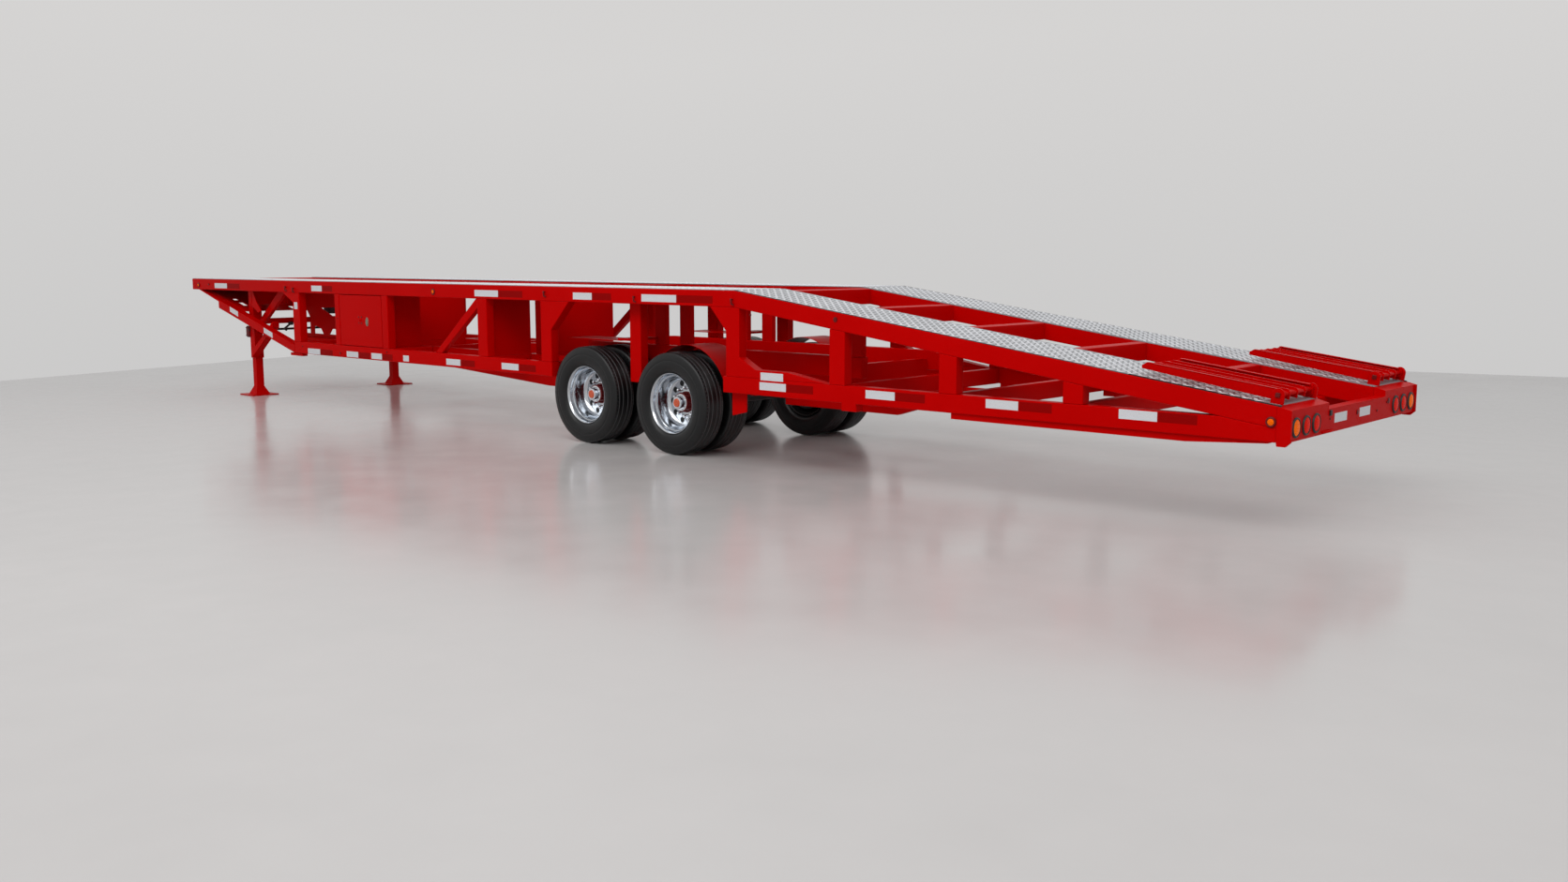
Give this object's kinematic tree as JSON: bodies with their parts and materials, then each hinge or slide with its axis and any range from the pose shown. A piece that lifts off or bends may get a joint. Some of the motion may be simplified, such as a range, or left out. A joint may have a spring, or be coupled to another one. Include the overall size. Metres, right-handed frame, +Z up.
{
  "type": "wedge car-hauler semi-trailer",
  "caption": "Red wedge car-hauler semi-trailer with a flat front deck, a sloped rear deck in tread plate, tandem twin wheels, landing legs, flip ramps and a side toolbox.",
  "frame": {"origin": "on the floor under the middle of the trailer's overall box", "axes": "+X rearward, from the nose to the tail, -Y the left (road) side, +Z up"},
  "size_m": [16.15, 2.591, 1.616],
  "materials": {
    "red_paint": "gloss red paint",
    "tyre_rubber": "black rubber",
    "polished_aluminium": "polished",
    "tread_plate": "bright diamond tread plate",
    "amber_lens": "amber lens",
    "red_lens": "red lens",
    "dark_steel": "dark painted steel"
  },
  "bodies": {
    "trailer_frame": {"axles": "dark_steel", "coupler_plate": "red_paint", "coupler_webs": "red_paint", "deck_crossmembers": "red_paint", "deck_posts": "red_paint", "diagonal_braces": "red_paint", "floor_beams_centre": "red_paint", "floor_beams_outer": "red_paint", "floor_beams_rear": "red_paint", "front_chords": "red_paint", "inner_rails_flat": "red_paint", "inner_rails_sloped": "red_paint", "inner_sills": "red_paint", "landing_legs": "red_paint", "leaf_springs": "dark_steel", "leg_shaft": "red_paint", "leg_struts": "red_paint", "middle_chords": "red_paint", "mudguards": "red_paint", "nose_beam": "red_paint", "ramp_hinge_ears": "red_paint", "ramp_store_rails": "red_paint", "rear_chords": "red_paint", "runway_crossmembers": "red_paint", "runway_plates_flat": "tread_plate", "runway_plates_sloped": "tread_plate", "side_posts": "red_paint", "side_rails_flat": "red_paint", "side_rails_sloped": "red_paint", "spring_hangers": "red_paint", "stop_lamps": "red_lens", "suspension_beams": "red_paint", "tail_beam": "red_paint", "tail_end_plates": "red_paint", "toolbox_shell": "red_paint", "turn_lamps": "amber_lens", "web_plates": "red_paint", "wheel_posts": "red_paint"},
    "wheels_front_left": {"tyres_front_left": "tyre_rubber", "rims_front_left": "polished_aluminium"},
    "wheels_front_right": {"tyres_front_right": "tyre_rubber", "rims_front_right": "polished_aluminium"},
    "wheels_rear_left": {"tyres_rear_left": "tyre_rubber", "rims_rear_left": "polished_aluminium"},
    "wheels_rear_right": {"tyres_rear_right": "tyre_rubber", "rims_rear_right": "polished_aluminium"},
    "ramp_left": {"ramp_left": "red_paint"},
    "ramp_right": {"ramp_right": "red_paint"},
    "toolbox_door": {"toolbox_door": "red_paint"}
  },
  "joints": [
    {"name": "wheel_spin_front_left", "type": "hinge", "parent": "trailer_frame", "child": "wheels_front_left", "pos_m": [0.711, -0.984, 0.503], "axis": [0, 1, 0], "continuous": true},
    {"name": "wheel_spin_front_right", "type": "hinge", "parent": "trailer_frame", "child": "wheels_front_right", "pos_m": [0.711, 0.984, 0.503], "axis": [0, 1, 0], "continuous": true},
    {"name": "wheel_spin_rear_left", "type": "hinge", "parent": "trailer_frame", "child": "wheels_rear_left", "pos_m": [1.995, -0.984, 0.503], "axis": [0, 1, 0], "continuous": true},
    {"name": "wheel_spin_rear_right", "type": "hinge", "parent": "trailer_frame", "child": "wheels_rear_right", "pos_m": [1.995, 0.984, 0.503], "axis": [0, 1, 0], "continuous": true},
    {"name": "ramp_flip_left", "type": "hinge", "parent": "trailer_frame", "child": "ramp_left", "pos_m": [7.95339, -0.94, 0.98518], "axis": [0, 1, 0], "range_deg": [0, 195]},
    {"name": "ramp_flip_right", "type": "hinge", "parent": "trailer_frame", "child": "ramp_right", "pos_m": [7.95339, 0.94, 0.98518], "axis": [0, 1, 0], "range_deg": [0, 195]},
    {"name": "toolbox_door_swing", "type": "hinge", "parent": "trailer_frame", "child": "toolbox_door", "pos_m": [-4.012, -1.2855, 1.1375], "axis": [0, 0, -1], "range_deg": [0, 100]}
  ]
}
